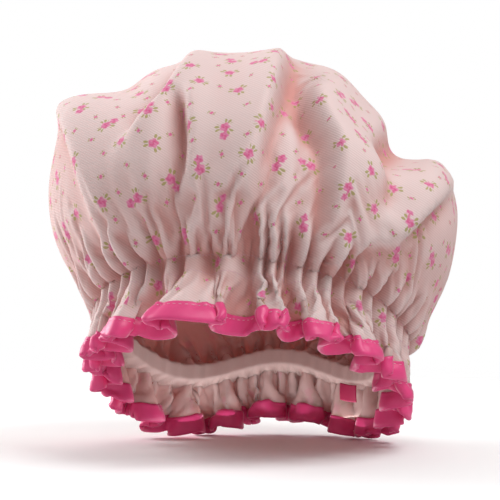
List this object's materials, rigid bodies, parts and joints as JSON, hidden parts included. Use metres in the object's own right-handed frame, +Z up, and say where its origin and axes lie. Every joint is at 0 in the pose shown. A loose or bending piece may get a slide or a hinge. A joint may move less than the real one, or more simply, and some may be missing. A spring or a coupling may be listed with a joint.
{
  "type": "shower cap",
  "caption": "Gathered round cloth shower cap with a waterproof lining, an elastic band and a ruffled frill with a bound hem, shaped as it sits on a head.",
  "frame": {"origin": "middle of the head opening, at the elastic band", "axes": "+Z up as worn, -Y towards the brow, +X towards the wearer's left ear"},
  "size_m": [0.2398, 0.2697, 0.2371],
  "materials": {
    "printed_cloth": "fine twill with a small rose print",
    "lining_film": "pale coated film",
    "satin_tape": "satin weave",
    "elastic_weave": "woven elastic",
    "casing_tape": "plain tape",
    "label_satin": "blank satin label",
    "sewing_thread": "spun thread"
  },
  "bodies": {
    "root": {"outer_shell": "printed_cloth", "waterproof_lining": "lining_film", "hem_binding": "satin_tape", "elastic_band": "elastic_weave", "elastic_casing": "casing_tape", "blank_label": "label_satin", "upper_casing_stitch": "sewing_thread", "lower_casing_stitch": "sewing_thread", "binding_topstitch": "sewing_thread"}
  },
  "joints": []
}
